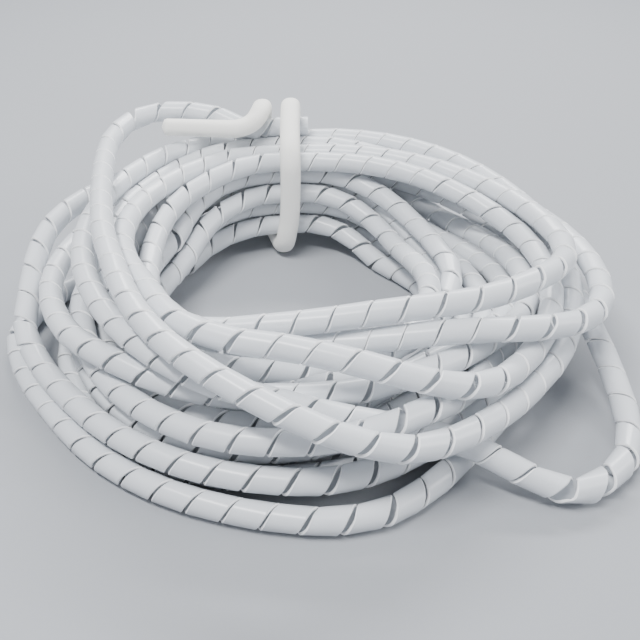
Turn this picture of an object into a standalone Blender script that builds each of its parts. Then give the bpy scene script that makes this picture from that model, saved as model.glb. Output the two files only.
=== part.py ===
"""Coil of spiral-cut polyethylene tube held by one soft tie.

The tube is one length, wound into a loose ring. Each turn of the ring is one object, and the
turns meet end to end under the tie. Lengths are in metres, +Z is up, and the ring lies on z = 0.
"""
import math

import bpy
import numpy as np
from mathutils import Vector

# Driving dimensions
TUBE_DIAMETER = 0.010
TURNS = 17
RING_RADIUS = 8.9          # of the bundle's centre line, in tube diameters
RING_CENTRE = (-0.00297, 0.00627)
TIE_DIAMETER = 0.0095
TIE_AZIMUTH = 96.5          # degrees from +X, at the back of the ring
HELD_ARC = 15.0             # degrees each side of the tie where the turns run side by side
END_GAP = 0.0003            # between one turn's end face and the next

# How the turns are packed where the tie holds them, in tube diameters
ROWS = 5                    # below the tube's upper end, which lies alone on top
COLUMNS = 4                 # in the lowest row, and one less in every other row
SLACK_ROW = 1               # the row with an empty place in its middle
COLUMN_PITCH = 1.04
ROW_PITCH = 0.905
FLOOR_HEIGHT = 0.55         # of the lowest tube centre
TIE_LIFT = 0.97             # more than that where the tie passes underneath

# How the bundle opens out: azimuth, spread across, lean of the upper rows, squash of the height,
# shift of the centre line, and the least and the greatest radius
SECTIONS = (
    (10.0, 1.25, -0.25, 0.95, 0.00, 6.1, 11.5),
    (50.0, 1.15, 0.20, 1.00, -0.05, 6.1, 10.9),
    (96.5, 1.00, 0.00, 1.00, 0.00, 6.2, 10.9),
    (140.0, 1.10, 0.20, 1.00, 0.00, 6.7, 11.0),
    (185.0, 1.15, -0.70, 0.96, 0.30, 6.9, 12.5),
    (208.0, 1.10, -0.80, 0.95, 0.20, 6.9, 11.7),
    (230.0, 1.05, -0.85, 0.94, 0.20, 6.8, 11.3),
    (260.0, 1.05, -0.85, 0.92, 0.30, 6.6, 11.7),
    (280.0, 1.05, -0.85, 0.92, 0.30, 6.6, 12.0),
    (302.0, 1.05, -0.85, 0.92, -0.10, 6.5, 10.5),
    (325.0, 1.10, -0.80, 0.92, -0.20, 6.3, 10.1),
    (347.0, 1.25, -0.70, 0.94, 0.00, 6.2, 11.3),
)

# Turns that leave the bundle, with the azimuth, radius and height of each point of their route,
# in degrees and tube diameters. The first is the tube's upper end, which rises beside the tie.
RISING_TURN = (
    (107, 10.15, 6.15), (112, 10.85, 6.20), (117, 11.75, 6.30), (123, 12.65, 6.40), (129, 13.05, 6.40),
    (135, 12.90, 6.30), (142, 12.10, 6.20), (151, 10.80, 6.10), (162, 9.60, 6.00), (175, 8.75, 5.90),
    (188, 8.35, 5.80), (201, 8.20, 5.70), (212, 8.35, 5.60), (224, 8.80, 5.45), (234, 9.30, 5.30),
    (246, 9.95, 5.05), (256, 10.55, 4.75), (264, 11.05, 4.35), (271, 11.50, 3.90), (279, 11.80, 3.20),
    (289, 11.80, 2.40), (302, 11.30, 1.90), (320, 10.90, 1.90), (342, 11.20, 2.40), (372, 11.20, 3.40),
    (395, 10.75, 4.30), (417, 10.60, 4.85),
)
WIDE_TURN = (
    (140, 10.00, 5.10), (174, 9.30, 4.90), (205, 8.90, 4.70), (230, 8.90, 4.35), (250, 8.90, 3.85),
    (266, 8.80, 3.40), (280, 9.10, 2.90), (290, 9.50, 2.45), (297, 9.95, 2.05), (302, 10.50, 1.70),
    (305, 11.30, 1.35), (308, 12.60, 0.85), (311, 13.70, 0.55), (315, 14.55, 0.55), (319, 14.95, 0.55),
    (324, 14.95, 0.55), (330, 14.65, 0.60), (336, 13.95, 1.00), (342, 13.10, 1.60), (349, 12.30, 2.20),
    (358, 11.70, 2.60), (375, 11.00, 3.10), (400, 10.30, 4.10),
)
INNER_TURN = (
    (140, 9.10, 4.90), (175, 8.60, 4.50), (208, 7.90, 4.10), (227, 7.30, 4.05), (243, 6.95, 3.95),
    (254, 6.65, 4.05), (268, 6.50, 4.15), (280, 6.60, 4.25), (294, 7.05, 4.40), (307, 7.95, 4.55),
    (318, 9.00, 4.65), (328, 10.00, 4.65), (336, 10.80, 4.75), (344, 11.45, 4.50), (354, 11.85, 4.30),
    (368, 11.50, 4.25), (384, 10.70, 4.40), (402, 9.60, 4.80),
)
SECOND_INNER_TURN = (
    (140, 7.50, 4.60), (175, 7.00, 3.70), (208, 7.00, 3.20), (241, 6.60, 2.95), (258, 6.30, 3.05),
    (273, 6.38, 3.10), (287, 6.76, 3.25), (297, 7.30, 3.40), (305, 7.96, 3.50), (314, 9.00, 3.45),
    (321, 10.10, 3.30), (328, 11.00, 3.05), (336, 11.75, 2.90), (346, 12.05, 2.85), (358, 11.90, 3.05),
    (376, 11.30, 3.40), (400, 10.60, 3.80),
)
CROSSING_TURN = (
    (140, 8.15, 5.00), (160, 7.90, 5.00), (179, 7.65, 5.00), (215, 7.32, 5.00), (231, 7.80, 5.00),
    (243, 8.20, 5.00), (256, 8.40, 4.95), (270, 8.60, 4.80), (282, 9.20, 4.50), (291, 9.95, 4.10),
    (297, 10.55, 3.70), (304, 11.10, 3.20), (312, 11.40, 2.75), (322, 11.50, 2.45), (334, 11.60, 2.50),
    (348, 11.50, 2.80), (372, 10.60, 3.60), (398, 8.60, 4.70),
)
OUTER_TURN = (
    (135, 10.70, 4.80), (146, 11.15, 4.75), (156, 11.45, 4.65), (165, 11.70, 4.50), (173, 11.75, 4.10),
    (181, 11.70, 3.60), (188, 11.75, 2.90), (196, 11.85, 2.20), (206, 11.50, 1.70), (220, 11.10, 1.50),
    (240, 11.10, 1.50), (262, 11.30, 1.50), (280, 11.40, 1.50), (298, 10.80, 1.45), (320, 10.40, 1.60),
    (345, 10.90, 2.00), (380, 10.60, 2.60), (412, 9.80, 3.50),
)
LOWEST_TURN = (
    (140, 9.70, 0.80), (160, 10.90, 0.60), (175, 12.10, 0.55), (187, 12.60, 0.55), (200, 12.10, 0.55),
    (215, 11.60, 0.55), (235, 11.60, 0.55), (260, 11.80, 0.55), (280, 12.10, 0.55), (290, 11.70, 0.55),
    (300, 10.90, 0.55), (312, 10.30, 0.55), (325, 10.20, 0.55), (345, 10.50, 0.55), (365, 10.60, 0.60),
    (385, 10.50, 0.70), (410, 10.40, 1.00),
)
LOOSE_TURNS = (
    (0, RISING_TURN),
    (1, WIDE_TURN),
    (2, INNER_TURN),
    (3, CROSSING_TURN),
    (4, SECOND_INNER_TURN),
    (5, OUTER_TURN),
    (16, LOWEST_TURN),
)

# How the route is stepped and how its turns are set apart
STEPS = 40                  # points a turn
STEPS_BEFORE = 1            # of the upper end, before the tie
STEPS_AFTER = 2             # of the lower end, past the tie
FIRST_HELD_ARC = 9.5        # the rising turn leaves the bundle sooner
EASE_ARC = 25.0
OPEN_ARC = 50.0
WANDER_SEED = 21
WANDER_WAVES = 3
WANDER = (0.9, 0.35)        # across and up, in tube diameters
SPACING = 1.06              # centre distance wanted, in tube diameters
PASSES = 900
EARLY_PASSES = 560
SETTLE_STEP = 0.00003
NEIGHBOUR_STEPS = 4


# The route of the tube's centre line

def eased(x):
    """Smooth step from 0 to 1."""
    x = np.clip(x, 0.0, 1.0)
    return x * x * (3.0 - 2.0 * x)


def packed_places():
    """Where each turn sits under the tie, across and up, from the top row down and to and fro."""
    places = [(COLUMN_PITCH, FLOOR_HEIGHT + TIE_LIFT + ROWS * ROW_PITCH)]
    for row in reversed(range(ROWS)):
        count = COLUMNS - row % 2
        across = [(k - (count - 1) / 2) * COLUMN_PITCH for k in range(count)]
        if row == SLACK_ROW:
            across.pop(count // 2)
        if row % 2 or row == ROWS - 1:
            across.reverse()
        up = FLOOR_HEIGHT + TIE_LIFT + row * ROW_PITCH
        places += [(x, up) for x in across]
    return np.array(places)


def section_at(azimuth, column):
    """One column of SECTIONS at each azimuth, eased between its stations all the way round."""
    stations = np.array(SECTIONS)
    at = np.concatenate([stations[:, 0] - 360.0, stations[:, 0], stations[:, 0] + 360.0])
    value = np.tile(stations[:, column], 3)
    turned = azimuth % 360.0
    i = np.searchsorted(at, turned, side="right") - 1
    share = eased((turned - at[i]) / (at[i + 1] - at[i]))
    return value[i] * (1.0 - share) + value[i + 1] * share


def curve_through(points, azimuth):
    """Radius and height at each azimuth on a smooth curve through (azimuth, radius, height)."""
    table = np.array(points, float)
    at, value = table[:, 0], table[:, 1:]
    slope = np.gradient(value, at, axis=0)
    slope[1:-1] = (value[2:] - value[:-2]) / (at[2:] - at[:-2])[:, None]
    i = np.clip(np.searchsorted(at, azimuth, side="right") - 1, 0, len(at) - 2)
    width = (at[i + 1] - at[i])[:, None]
    t = (azimuth - at[i])[:, None] / width
    start = (2 * t**3 - 3 * t**2 + 1) * value[i] + (t**3 - 2 * t**2 + t) * width * slope[i]
    end = (3 * t**2 - 2 * t**3) * value[i + 1] + (t**3 - t**2) * width * slope[i + 1]
    return start + end


def wound_route():
    """First draft of the centre line: points, how freely each may move, and each one's turn."""
    places = packed_places()
    step = np.arange(-STEPS_BEFORE, TURNS * STEPS + STEPS_AFTER + 1)
    azimuth = TIE_AZIMUTH + step * 360.0 / STEPS
    turn = np.clip(step // STEPS, 0, TURNS - 1)
    along = np.clip(step / STEPS - turn, 0.0, 1.0)
    from_tie = np.abs((azimuth - TIE_AZIMUTH + 180.0) % 360.0 - 180.0)
    away = eased((from_tie - HELD_ARC) / OPEN_ARC)

    moved = eased((along - 0.06) / 0.88)[:, None]
    place = places[turn] * (1.0 - moved) + places[turn + 1] * moved
    half_height = (ROWS - 1) / 2 * ROW_PITCH
    above = place[:, 1] - FLOOR_HEIGHT - TIE_LIFT - half_height
    spread, lean, squash, shift = (section_at(azimuth, column) for column in (1, 2, 3, 4))
    across = place[:, 0] * (1.0 + (spread - 1.0) * away) + (above * lean + shift) * away
    height = FLOOR_HEIGHT + TIE_LIFT * (1.0 - away)
    height += (half_height + above) * (1.0 + (squash - 1.0) * away)

    chance = np.random.default_rng(WANDER_SEED)
    for n in range(TURNS):
        mine = turn == n
        for wave in range(1, WANDER_WAVES + 1):
            start = chance.uniform(0.0, 2.0 * math.pi, 2)
            size = chance.normal(0.0, 1.0, 2) * np.array(WANDER) / wave
            angle = 2.0 * math.pi * wave * along[mine]
            across[mine] += size[0] * np.sin(angle + start[0]) * away[mine]
            height[mine] += size[1] * np.sin(angle + start[1]) * away[mine]
    least, greatest = section_at(azimuth, 5), section_at(azimuth, 6)
    radius = np.clip(RING_RADIUS + across, least, greatest)
    rising = (turn == 0) & (azimuth > TIE_AZIMUTH + FIRST_HELD_ARC) & (along < 0.5)
    loose = place_loose_turns(places, azimuth, turn, radius, height)

    angle = np.radians(azimuth)
    points = np.stack([radius * np.cos(angle), radius * np.sin(angle), height], 1)
    points[:, 2] = np.maximum(points[:, 2], FLOOR_HEIGHT)
    release = np.maximum(eased((from_tie - HELD_ARC) / EASE_ARC), rising)
    return points * TUBE_DIAMETER, (1.0 - 0.6 * loose) * release, turn


def place_loose_turns(places, azimuth, turn, radius, height):
    """Give the loose turns their own routes between their places under the tie."""
    loose = np.zeros(len(azimuth))
    for n, route in LOOSE_TURNS:
        mine = turn == n
        here = (RING_RADIUS + places[n, 0], places[n, 1])
        there = (RING_RADIUS + places[n + 1, 0], places[n + 1, 1])
        held_until = TIE_AZIMUTH + (HELD_ARC if n else FIRST_HELD_ARC)
        held_from = TIE_AZIMUTH + 360.0 - HELD_ARC
        start = [(TIE_AZIMUTH, *here)] + ([(held_until, *here)] if n else [])
        points = start + list(route) + [(held_from, *there), (TIE_AZIMUTH + 360.0, *there)]
        local = azimuth[mine] - 360.0 * n
        found = curve_through(points, local)
        found[local <= held_until] = here
        found[local >= held_from] = there
        radius[mine], height[mine] = found[:, 0], found[:, 1]
        loose[mine] = 1.0
    return loose


def nearest_on(p0, p1, q0, q1):
    """Shortest way from segments q to segments p, and how far along each it starts."""
    along_p, along_q, between = p1 - p0, q1 - q0, p0 - q0
    pp, qq = (along_p**2).sum(1), (along_q**2).sum(1)
    pq, pb, qb = (along_p * along_q).sum(1), (along_p * between).sum(1), (along_q * between).sum(1)
    s = np.clip((pq * qb - pb * qq) / np.maximum(pp * qq - pq**2, 1e-18), 0.0, 1.0)
    t = np.clip((pq * s + qb) / qq, 0.0, 1.0)
    s = np.clip((pq * t - pb) / pp, 0.0, 1.0)
    return (p0 + along_p * s[:, None]) - (q0 + along_q * t[:, None]), s, t


def neighbours(points, reach):
    """Pairs of segments of different stretches that lie within reach of each other."""
    middle = 0.5 * (points[:-1] + points[1:])
    apart = ((middle[:, None, :] - middle[None, :, :]) ** 2).sum(2)
    first, second = np.nonzero(apart < reach**2)
    keep = second - first > NEIGHBOUR_STEPS
    return first[keep], second[keep]


def set_apart(points, freedom, wanted):
    """Move the turns off each other, a little at a time, until their centres are wanted apart."""
    shift = np.zeros_like(points)
    movable = (freedom > 0.0).astype(float)[:, None]
    for count in range(PASSES):
        now = points + shift
        if count % 12 == 0:
            first, second = neighbours(now, 2.6 * wanted)
        way, s, t = nearest_on(now[first], now[first + 1], now[second], now[second + 1])
        distance = np.sqrt((way**2).sum(1)) + 1e-12
        near = distance < wanted
        a, b, s, t = first[near], second[near], s[near], t[near]
        ease_a = freedom[a] * (1.0 - s) + freedom[a + 1] * s
        ease_b = freedom[b] * (1.0 - t) + freedom[b + 1] * t
        share = ease_a / (ease_a + ease_b + 1e-6)
        push = way[near] / distance[near][:, None] * (wanted - distance[near])[:, None]
        move, weight = np.zeros_like(points), np.zeros(len(points))
        for index, part, moved in ((a, 1.0 - s, share), (a + 1, s, share),
                                   (b, 1.0 - t, share - 1.0), (b + 1, t, share - 1.0)):
            np.add.at(move, index, push * (part * moved)[:, None])
            np.add.at(weight, index, part)
        shift += 1.3 * move / np.maximum(weight, 0.7)[:, None] * movable
        early = count < EARLY_PASSES
        if early:
            shift[:, 2] -= SETTLE_STEP * freedom
        stiffness = 0.25 if early else 0.03
        middle = 0.5 * (shift[:-2] + shift[2:])
        shift[1:-1] += stiffness * movable[1:-1] * (middle - shift[1:-1])
        below = wanted / 2 - (points[:, 2] + shift[:, 2])
        shift[:, 2] += np.maximum(below, 0.0)
    return points + shift


def tube_route():
    """The tube's centre line in the part's frame, and the turn that each point belongs to."""
    points, freedom, turn = wound_route()
    points = set_apart(points, freedom, SPACING * TUBE_DIAMETER)
    points[:, :2] += RING_CENTRE
    return points, turn


# Materials and objects

def plastic(name, colour, roughness):
    """A plain plastic finish."""
    material = bpy.data.materials.new(name)
    material.use_nodes = True
    shader = material.node_tree.nodes["Principled BSDF"]
    shader.inputs["Base Color"].default_value = (*colour, 1.0)
    shader.inputs["Roughness"].default_value = roughness
    shader.inputs["Metallic"].default_value = 0.0
    return material


def round_bar(name, route, diameter, material, collection):
    """A round solid along a route, with closed flat ends."""
    curve = bpy.data.curves.new(name, "CURVE")
    curve.dimensions = "3D"
    curve.bevel_depth = diameter / 2
    curve.bevel_resolution = 2
    curve.use_fill_caps = True
    spline = curve.splines.new("POLY")
    spline.points.add(len(route) - 1)
    for point, place in zip(spline.points, route):
        point.co = (*place, 1.0)
    curve.materials.append(material)
    bar = bpy.data.objects.new(name, curve)
    collection.objects.link(bar)
    return bar


def build_turns(collection, material):
    """One object for each turn. Each ends half way along a straight step, square to the next."""
    points, _ = tube_route()
    points = [Vector(p) for p in points]
    cuts = [STEPS_BEFORE + n * STEPS for n in range(1, TURNS)]
    ends = [0] + [cut + 1 for cut in cuts] + [len(points)]
    for n in range(TURNS):
        route = points[ends[n]:ends[n + 1]]
        if n > 0:
            route.insert(0, towards(points[ends[n]], points[ends[n] - 1]))
        if n < TURNS - 1:
            route.append(towards(points[ends[n + 1] - 1], points[ends[n + 1]]))
        round_bar(f"coil_turn_{n + 1:02d}", route, TUBE_DIAMETER, material, collection)


def towards(here, there):
    """The point half way from here to there, less half of the gap between two end faces."""
    way = there - here
    return here + way.normalized() * (way.length - END_GAP) / 2


# The tie: one soft round cord, once round the bundle, with its tail along the top.
# Each point is the arc along the ring, the distance across from the bundle's centre line
# and the height, in tube diameters.
TIE_ROUTE = (
    (0.62, 2.30, 5.95), (0.62, 1.93, 6.60), (0.60, 1.50, 6.97), (0.58, 1.04, 7.08),
    (0.56, 0.60, 7.02), (0.54, 0.00, 6.85), (0.50, -0.70, 6.63), (0.48, -1.40, 6.37),
    (0.46, -1.97, 6.13), (0.45, -2.36, 5.84), (0.44, -2.59, 5.41), (0.43, -2.63, 4.80),
    (0.40, -2.63, 3.90), (0.35, -2.63, 3.00), (0.25, -2.63, 2.20), (0.10, -2.63, 1.60),
    (-0.02, -2.55, 1.09), (-0.12, -2.27, 0.71), (-0.20, -1.86, 0.525), (-0.28, -1.40, 0.485),
    (-0.40, -0.60, 0.485), (-0.50, 0.20, 0.485), (-0.56, 1.00, 0.485), (-0.60, 1.45, 0.485),
    (-0.62, 1.87, 0.54), (-0.62, 2.25, 0.73), (-0.62, 2.52, 1.10), (-0.62, 2.60, 1.60),
    (-0.62, 2.60, 2.40), (-0.62, 2.60, 3.20), (-0.62, 2.60, 4.00), (-0.62, 2.60, 4.70),
    (-0.62, 2.60, 5.14), (-0.62, 2.50, 5.60), (-0.64, 2.25, 6.05), (-0.66, 1.96, 6.58),
    (-0.70, 1.52, 6.96), (-0.78, 1.05, 7.08), (-0.95, 0.60, 7.02), (-1.25, 0.25, 6.80),
    (-1.70, 0.10, 6.60), (-2.30, 0.12, 6.50), (-3.00, 0.50, 6.48), (-3.80, 0.95, 6.52),
    (-4.60, 1.40, 6.60), (-5.35, 1.85, 6.70),
)


def tie_route():
    """The tie's centre line in the part's frame."""
    route = []
    for along, across, up in TIE_ROUTE:
        radius = RING_RADIUS + across
        angle = math.radians(TIE_AZIMUTH) - along / RING_RADIUS
        x, y = radius * math.cos(angle), radius * math.sin(angle)
        route.append(Vector((x, y, up)) * TUBE_DIAMETER + Vector((*RING_CENTRE, 0.0)))
    return route


def build_tie(collection, material):
    """The tie, turned as one piece about the ring's upright axis when it slides."""
    axis = bpy.data.objects.new("tie_axis", None)
    axis.location = (*RING_CENTRE, 0.0)
    collection.objects.link(axis)
    tie = round_bar("tie", tie_route(), TIE_DIAMETER, material, collection)
    tie.parent = axis
    tie.matrix_parent_inverse.translation = (-RING_CENTRE[0], -RING_CENTRE[1], 0.0)


def main():
    for old in list(bpy.data.objects):
        bpy.data.objects.remove(old)
    collection = bpy.data.collections.new("spiral_wrap_tube_coil")
    bpy.context.scene.collection.children.link(collection)
    build_turns(collection, plastic("natural_polyethylene", (0.80, 0.83, 0.87), 0.32))
    build_tie(collection, plastic("soft_white_tie", (0.93, 0.92, 0.88), 0.45))


main()
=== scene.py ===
"""Looks of a coil of spiral wrap tube.

The object is one length of slit polyethylene tube, wound by hand into a loose ring, and the soft
tie that holds it. Lengths are in metres, +Z is up, and the ring lies on z = 0.
"""

import logging
import math
from dataclasses import dataclass
from enum import Enum
from typing import Any, Optional, Sequence, Union

import bpy
import numpy as np
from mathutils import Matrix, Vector


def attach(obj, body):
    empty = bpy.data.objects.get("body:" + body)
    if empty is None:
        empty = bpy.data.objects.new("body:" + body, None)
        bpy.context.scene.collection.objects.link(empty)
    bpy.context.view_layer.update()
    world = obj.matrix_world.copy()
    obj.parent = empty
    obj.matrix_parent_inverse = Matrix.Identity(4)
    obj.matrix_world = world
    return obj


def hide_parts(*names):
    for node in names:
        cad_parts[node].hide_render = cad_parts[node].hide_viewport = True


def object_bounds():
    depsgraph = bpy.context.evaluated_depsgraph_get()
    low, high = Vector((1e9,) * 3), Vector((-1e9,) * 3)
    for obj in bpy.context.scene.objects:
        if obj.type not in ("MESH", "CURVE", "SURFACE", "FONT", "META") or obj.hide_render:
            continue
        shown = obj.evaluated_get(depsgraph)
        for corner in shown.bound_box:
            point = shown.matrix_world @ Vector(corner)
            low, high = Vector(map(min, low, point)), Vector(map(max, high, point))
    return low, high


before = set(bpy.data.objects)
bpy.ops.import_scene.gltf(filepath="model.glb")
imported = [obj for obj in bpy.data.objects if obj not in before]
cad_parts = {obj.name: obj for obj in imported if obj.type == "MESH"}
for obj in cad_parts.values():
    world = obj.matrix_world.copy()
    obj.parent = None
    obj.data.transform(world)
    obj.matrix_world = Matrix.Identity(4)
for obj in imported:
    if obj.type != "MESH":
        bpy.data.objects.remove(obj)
CAD_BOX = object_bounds()
LOG = logging.getLogger("wrap_tube_coil")

Point = tuple[float, float, float]
Colour = tuple[float, float, float]


class Body(Enum):
    """The bodies of the frame that a piece can ride on."""

    COIL = "coil"
    TIE = "tie"


class Slot(Enum):
    """The record's material slots."""

    TUBE = "natural_polyethylene"
    TIE = "soft_white_tie"


# Node trees written as expressions

class Wire:
    """The output socket of a node."""

    def __init__(self, graph: "Graph", socket: bpy.types.NodeSocket) -> None:
        """Keep the socket and the tree that it belongs to."""
        self.graph = graph
        self.socket = socket


class Number(Wire):
    """A number in a node tree, which takes part in Python arithmetic."""

    def __add__(self, other: "Amount") -> "Number":
        """Sum of two numbers."""
        return self.graph.maths("ADD", self, other)

    def __sub__(self, other: "Amount") -> "Number":
        """Difference of two numbers."""
        return self.graph.maths("SUBTRACT", self, other)

    def __rsub__(self, other: "Amount") -> "Number":
        """A plain number less this one."""
        return self.graph.maths("SUBTRACT", other, self)

    def __mul__(self, other: "Amount") -> "Number":
        """Product of two numbers."""
        return self.graph.maths("MULTIPLY", self, other)

    def __truediv__(self, other: "Amount") -> "Number":
        """Quotient of two numbers."""
        return self.graph.maths("DIVIDE", self, other)

    def __neg__(self) -> "Number":
        """This number with its sign turned."""
        return self.graph.maths("MULTIPLY", self, -1.0)

    def __abs__(self) -> "Number":
        """This number without its sign."""
        return self.graph.maths("ABSOLUTE", self)

    __radd__ = __add__
    __rmul__ = __mul__

    def eased(self, low: float, high: float) -> "Number":
        """Smooth step from 0 at low to 1 at high.

        Args:
            low: The value that gives 0.
            high: The value that gives 1.

        Returns:
            The eased number.
        """
        made = self.graph.node(
            "ShaderNodeMapRange",
            {"interpolation_type": "SMOOTHSTEP"},
            {"Value": self, "From Min": low, "From Max": high, "To Min": 0.0, "To Max": 1.0},
        )
        return Number(self.graph, made.outputs["Result"])

    def clamped(self, low: "Amount", high: "Amount") -> "Number":
        """This number kept between two others."""
        made = self.graph.node("ShaderNodeClamp", {}, {"Value": self, "Min": low, "Max": high})
        return Number(self.graph, made.outputs[0])


class Arrow(Wire):
    """A vector in a node tree, which takes part in Python arithmetic."""

    def __add__(self, other: "Arrow") -> "Arrow":
        """Sum of two vectors."""
        return self.graph.vector_maths("ADD", self, other)

    def __sub__(self, other: "Arrow") -> "Arrow":
        """Difference of two vectors."""
        return self.graph.vector_maths("SUBTRACT", self, other)

    def __mul__(self, size: "Amount") -> "Arrow":
        """This vector made longer or shorter."""
        made = self.graph.node("ShaderNodeVectorMath", {"operation": "SCALE"}, {0: self, "Scale": size})
        return Arrow(self.graph, made.outputs["Vector"])

    __rmul__ = __mul__

    def cross(self, other: "Arrow") -> "Arrow":
        """The vector square to both."""
        return self.graph.vector_maths("CROSS_PRODUCT", self, other)

    def stretched(self, factors: Point) -> "Arrow":
        """This vector with each of its numbers multiplied by its own factor."""
        return self.graph.vector_maths("MULTIPLY", self, factors)

    def length(self) -> Number:
        """The vector's length."""
        made = self.graph.node("ShaderNodeVectorMath", {"operation": "LENGTH"}, {0: self})
        return Number(self.graph, made.outputs["Value"])

    def parts(self) -> tuple[Number, Number, Number]:
        """The vector's X, Y and Z."""
        made = self.graph.node("ShaderNodeSeparateXYZ", {}, {0: self})
        return tuple(Number(self.graph, socket) for socket in made.outputs)


Amount = Union[Number, float, int]
Given = Union[Wire, float, int, bool, str, tuple, bpy.types.ID, None]


class Graph:
    """A node tree that is filled by expressions."""

    def __init__(self, tree: bpy.types.NodeTree) -> None:
        """Start with the tree's nodes removed."""
        self.tree = tree
        tree.nodes.clear()

    def node(
        self,
        kind: str,
        settings: Optional[dict[str, Any]] = None,
        inputs: Optional[dict[Union[str, int], Given]] = None,
    ) -> bpy.types.Node:
        """Add a node.

        Args:
            kind: The node's type.
            settings: Its own properties, which are set first.
            inputs: A value or a link for each socket, by name or place.

        Returns:
            The new node.
        """
        made = self.tree.nodes.new(kind)
        for name, value in (settings or {}).items():
            setattr(made, name, value)
        for name, value in (inputs or {}).items():
            self.give(made.inputs[name], value)
        return made

    def give(self, socket: bpy.types.NodeSocket, value: Given) -> None:
        """Link a wire to a socket, or set the socket's own value."""
        if isinstance(value, Wire):
            self.tree.links.new(value.socket, socket)
        else:
            socket.default_value = value

    def maths(self, operation: str, *values: Amount) -> Number:
        """A Math node's result."""
        inputs = dict(enumerate(values))
        return Number(self, self.node("ShaderNodeMath", {"operation": operation}, inputs).outputs[0])

    def vector_maths(self, operation: str, *values: Union[Arrow, Point]) -> Arrow:
        """A Vector Math node's vector."""
        inputs = dict(enumerate(values))
        made = self.node("ShaderNodeVectorMath", {"operation": operation}, inputs)
        return Arrow(self, made.outputs["Vector"])

    def arrow(self, x: Amount, y: Amount, z: Amount) -> Arrow:
        """A vector from its three numbers."""
        made = self.node("ShaderNodeCombineXYZ", {}, {0: x, 1: y, 2: z})
        return Arrow(self, made.outputs[0])

    def noise(self, where: Arrow, scale: float, detail: float = 2.0, rough: float = 0.5) -> Number:
        """Soft noise between 0 and 1 in three dimensions."""
        inputs = {"Vector": where, "Scale": scale, "Detail": detail, "Roughness": rough}
        return Number(self, self.node("ShaderNodeTexNoise", {}, inputs).outputs[0])

    def between(self, share: Amount, first: Union[Wire, Colour], second: Union[Wire, Colour]) -> Wire:
        """A colour between two others.

        Args:
            share: 0 for the first and 1 for the second.
            first: The first colour.
            second: The second colour.

        Returns:
            The mixed colour.
        """
        made = self.node("ShaderNodeMix", {"data_type": "RGBA"}, {0: share})
        for place, colour in ((6, first), (7, second)):
            self.give(made.inputs[place], colour if isinstance(colour, Wire) else (*colour, 1.0))
        return Wire(self, made.outputs[2])


class Finish:
    """A material made of nodes. Each kind of finish fills its own."""

    name = "finish"

    def material(self) -> bpy.types.Material:
        """The finish's material, made once."""
        found = bpy.data.materials.get(self.name)
        if found:
            return found
        made = bpy.data.materials.new(self.name)
        made.use_nodes = True
        graph = Graph(made.node_tree)
        shader = graph.node("ShaderNodeBsdfPrincipled")
        output = graph.node("ShaderNodeOutputMaterial")
        made.node_tree.links.new(shader.outputs[0], output.inputs["Surface"])
        self.dress(graph, shader)
        return made

    def dress(self, graph: Graph, shader: bpy.types.Node) -> None:
        """Set the shader's sockets."""
        raise NotImplementedError

    @staticmethod
    def place(graph: Graph) -> Arrow:
        """The point on the object, in metres."""
        return Arrow(graph, graph.node("ShaderNodeTexCoord").outputs["Object"])

    @staticmethod
    def stored(graph: Graph, name: str) -> bpy.types.Node:
        """A node that reads an attribute of the mesh."""
        return graph.node("ShaderNodeAttribute", {"attribute_name": name})

    @staticmethod
    def raise_surface(graph: Graph, shader: bpy.types.Node, height: Number, depth: float) -> None:
        """Let a height between 0 and 1 raise the surface by up to a depth in metres."""
        bump = graph.node("ShaderNodeBump", {}, {"Height": height, "Distance": depth})
        graph.tree.links.new(bump.outputs["Normal"], shader.inputs["Normal"])


@dataclass(frozen=True)
class NaturalPolyethylene(Finish):
    """Milky see-through plastic of the tube's wall, as it comes from the die."""

    name: str = "natural_polyethylene"
    clear: Colour = (0.86, 0.895, 0.94)
    milky: Colour = (0.97, 0.97, 0.965)
    least_cover: float = 0.16
    haze_cover: float = 0.12
    rim_cover: float = 0.30
    rim_start: float = 0.41
    roughness: float = 0.13
    haze_roughness: float = 0.14
    die_lines: float = 950.0
    die_line_stretch: float = 0.012
    haze_scale: float = 38.0
    bump: float = 0.00009

    def dress(self, graph: Graph, shader: bpy.types.Node) -> None:
        """Clear and milky stretches, fine lines along the tube, and cloudier rims."""
        skin = Arrow(graph, self.stored(graph, "unrolled").outputs["Vector"])
        across = Number(graph, self.stored(graph, "across").outputs["Fac"])
        lines = graph.noise(skin.stretched((1.0, 1.0, self.die_line_stretch)), self.die_lines, 3.0)
        haze = graph.noise(self.place(graph), self.haze_scale, 3.0).eased(0.3, 0.7)
        dents = graph.noise(skin, 120.0, 2.0)
        scuffs = graph.noise(skin.stretched((1.0, 1.0, 0.25)), 420.0, 4.0, 0.7).eased(0.60, 0.72)
        rim = abs(across).eased(self.rim_start, 0.5)
        graph.give(shader.inputs["Base Color"], graph.between(haze, self.clear, self.milky))
        rough = self.roughness + haze * self.haze_roughness + lines * 0.07 + scuffs * 0.12
        graph.give(shader.inputs["Roughness"], rough)
        cover = self.least_cover + haze * self.haze_cover + rim * self.rim_cover + scuffs * 0.08
        graph.give(shader.inputs["Alpha"], cover)
        graph.give(shader.inputs["IOR"], 1.51)
        graph.give(shader.inputs["Specular IOR Level"], 0.9)
        graph.give(shader.inputs["Coat Weight"], 1.0)
        graph.give(shader.inputs["Coat Roughness"], 0.12)
        self.raise_surface(graph, shader, lines * 0.35 + dents * 0.65, self.bump)


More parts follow.
